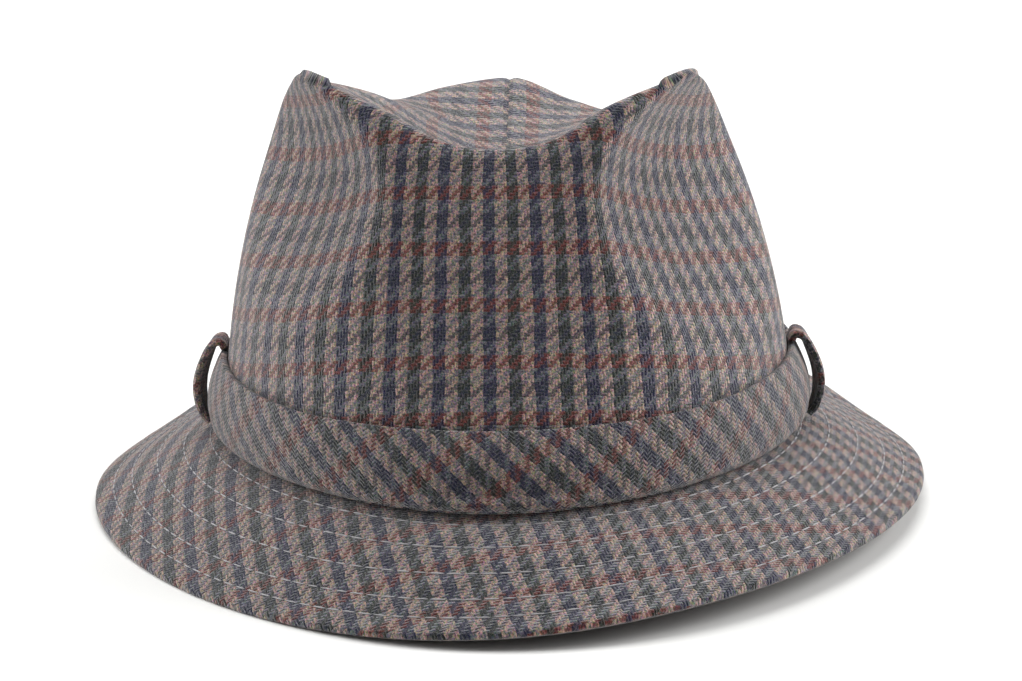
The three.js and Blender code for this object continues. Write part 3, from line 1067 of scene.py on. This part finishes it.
@dataclass
class SideLoop(Piece):
    """A strip of cloth that arches over the band at one side.

    Args:
        side: the side of the hat.
        steps, corner_steps, flat_steps: how finely it is divided.
    """

    side: HatSide
    steps: int = 72
    corner_steps: int = 8
    flat_steps: int = 14

    def outline(self) -> Array:
        """The strip's cross-section: sideways and outwards."""
        half, cloth = LOOP_WIDTH / 2, LOOP_CLOTH / 2
        points = []
        for sign in (1, -1):
            corner = np.linspace(-90, 90, self.corner_steps + 1)
            for a in np.radians(corner):
                points.append((sign * (half - cloth + cloth * math.cos(a)), sign * cloth * math.sin(a)))
            for t in np.linspace(0, 1, self.flat_steps + 1)[1:-1]:
                points.append((sign * (half - cloth) * (1 - 2 * t), sign * cloth))
        return np.array(points)

    def build(self) -> Object:
        """Makes the loop."""
        turn = np.array([self.side.value * LOOP_TURN])
        _, _, out = crown_lines(turn)
        out = out[0]
        knots = np.array([
            off_wall(turn, np.array([height]), np.array([[proud]]))[0, 0] for proud, height in LOOP_PATH
        ])
        path = smooth_path(knots, self.steps + 1)
        tangent = unit(np.gradient(path, axis=0))
        outline = self.outline()
        part = np.linspace(0, 1, self.steps + 1)
        twist = self.side.value * math.radians(LOOP_TWIST) * np.sin(math.pi * part)
        base = np.array([-out[1], out[0], 0])
        rows = []
        for i in range(self.steps + 1):
            c, s = math.cos(twist[i]), math.sin(twist[i])
            along = c * base - s * out
            away = unit(np.cross(tangent[i], along))
            rows.append(path[i] + outline[:, :1] * along + outline[:, 1:] * away)
        points = np.array(rows)
        edge = lengths(np.concatenate([outline, outline[:1]]), 0)
        down = lengths(path, 0)
        cloth = np.stack(np.broadcast_arrays(edge[None, :], down[:, None]), -1)
        strip = Sheet(points, cloth, flip=True, capped=True)
        return make_object(f"loop_{self.side.name.lower()}_cloth", [strip], self.finish)


@dataclass(frozen=True)
class Softbox:
    """A soft square light: its name, its place in metres, its power in watts and its side."""

    name: str
    place: Triple
    power: float
    size: float


@dataclass
class Studio:
    """The floor, the lights and the camera.

    Args:
        lights, aim: the soft lights, and the place that they face.
        air, floor_half: how strongly the surrounding shines, and half the floor's width.
        target: the point of the head opening's frame that the camera looks at, in mm.
        distance, view_width: how far away the camera is and how much it sees there, in mm.
        angles: how the camera is raised, turned aside and rolled at the head, in degrees.
        sensor: the width of the camera's sensor in mm.
    """

    lights: tuple[Softbox, ...] = (
        Softbox("left_softbox", (-1.7, 0.25, 0.9), 26, 1.2),
        Softbox("right_softbox", (1.7, 0.25, 0.9), 34, 1.2),
        Softbox("top_softbox", (0, 0.6, 1.9), 31, 1.6),
    )
    aim: Triple = (0, 0, 0.07)
    air: float = 0.2
    floor_half: float = 6.0
    target: Triple = (1.0, 0, 25.0)
    distance: float = 2000.0
    view_width: float = 311.7
    angles: Triple = (15.0, 2.0, 1.3)
    sensor: float = 36.0

    def floor(self, finish: Material) -> None:
        """A pale floor that the hat stands on."""
        mesh = bpy.data.meshes.new("studio_floor")
        half = self.floor_half
        corners = [(-half, -half, 0), (half, -half, 0), (half, half, 0), (-half, half, 0)]
        mesh.from_pydata(corners, [], [(0, 1, 2, 3)])
        mesh.materials.append(finish)
        linked("studio_floor", mesh)

    def light(self, box: Softbox) -> None:
        """One of the lights, facing the hat."""
        data = bpy.data.lights.new(box.name, "AREA")
        data.energy, data.size = box.power, box.size
        lamp = linked(box.name, data)
        lamp.location = box.place
        lamp.rotation_mode = "QUATERNION"
        lamp.rotation_quaternion = (Vector(self.aim) - Vector(box.place)).to_track_quat("-Z", "Y")

    def world(self) -> None:
        """An even pale surrounding."""
        world = bpy.data.worlds.new("studio_air")
        world.use_nodes = True
        world.node_tree.nodes.clear()
        sky = add(world.node_tree, "ShaderNodeBackground", {0: (1, 1, 1, 1), 1: self.air})
        add(world.node_tree, "ShaderNodeOutputWorld", {0: sky})
        bpy.context.scene.world = world

    def camera(self) -> None:
        """A long lens a little above the hat and slightly to its left."""
        up_angle, side_angle, roll = (math.radians(angle) for angle in self.angles)
        level = math.cos(up_angle)
        back = np.array([math.sin(side_angle) * level, -math.cos(side_angle) * level, math.sin(up_angle)])
        right = np.array([math.cos(side_angle), math.sin(side_angle), 0])
        up = np.cross(back, right)
        c, s = math.cos(roll), math.sin(roll)
        right, up = c * right - s * up, s * right + c * up
        eye = stand(np.array(self.target) + back * self.distance)
        axes = [stand(v, place=False) for v in (right, up, back)]
        rows = [[*(float(a[i]) for a in axes), float(eye[i])] for i in range(3)]
        data = bpy.data.cameras.new("camera")
        data.sensor_width = self.sensor
        data.lens = self.sensor * self.distance / self.view_width
        data.clip_start, data.clip_end = 0.05, 50
        camera = linked("camera", data)
        camera.matrix_world = Matrix([*rows, [0, 0, 0, 1]])
        bpy.context.scene.camera = camera

    def build(self) -> None:
        """Sets the studio up."""
        self.world()
        self.floor(Paper("white studio paper", "#f4f4f2").build())
        for box in self.lights:
            self.light(box)
        self.camera()
        bpy.context.scene.view_settings.view_transform = "Standard"


def main() -> None:
    """Builds the hat and the studio."""
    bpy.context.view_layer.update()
    # One wool for every part: the brim, band and loops get a lower lightness than the crown, painted shade
    # for how the lights fall on them.
    crown_wool = CheckedWool("brushed checked wool of the crown", lightness_and_painted_shade=0.63).build()
    brim_wool = CheckedWool("brushed checked wool of the brim", lightness_and_painted_shade=0.56).build()
    band_wool = CheckedWool("brushed checked wool on the bias", lightness_and_painted_shade=0.48).build()
    loop_wool = CheckedWool("brushed checked wool of the loops", lightness_and_painted_shade=0.52).build()
    quilting_thread = Thread("spun polyester quilting thread", "#aaa8ab").build()
    seat(Crown(crown_wool).build(), "crown")
    brim = Brim(brim_wool)
    seat(brim.build(), "brim")
    seat(BrimStitching(quilting_thread, brim).build(), "brim", stands_for=False)
    seat(Band(band_wool).build(), "band")
    for side in HatSide:
        seat(SideLoop(loop_wool, side).build(), f"loop_{side.name.lower()}")
    Studio().build()


if __name__ == "__main__":
    main()
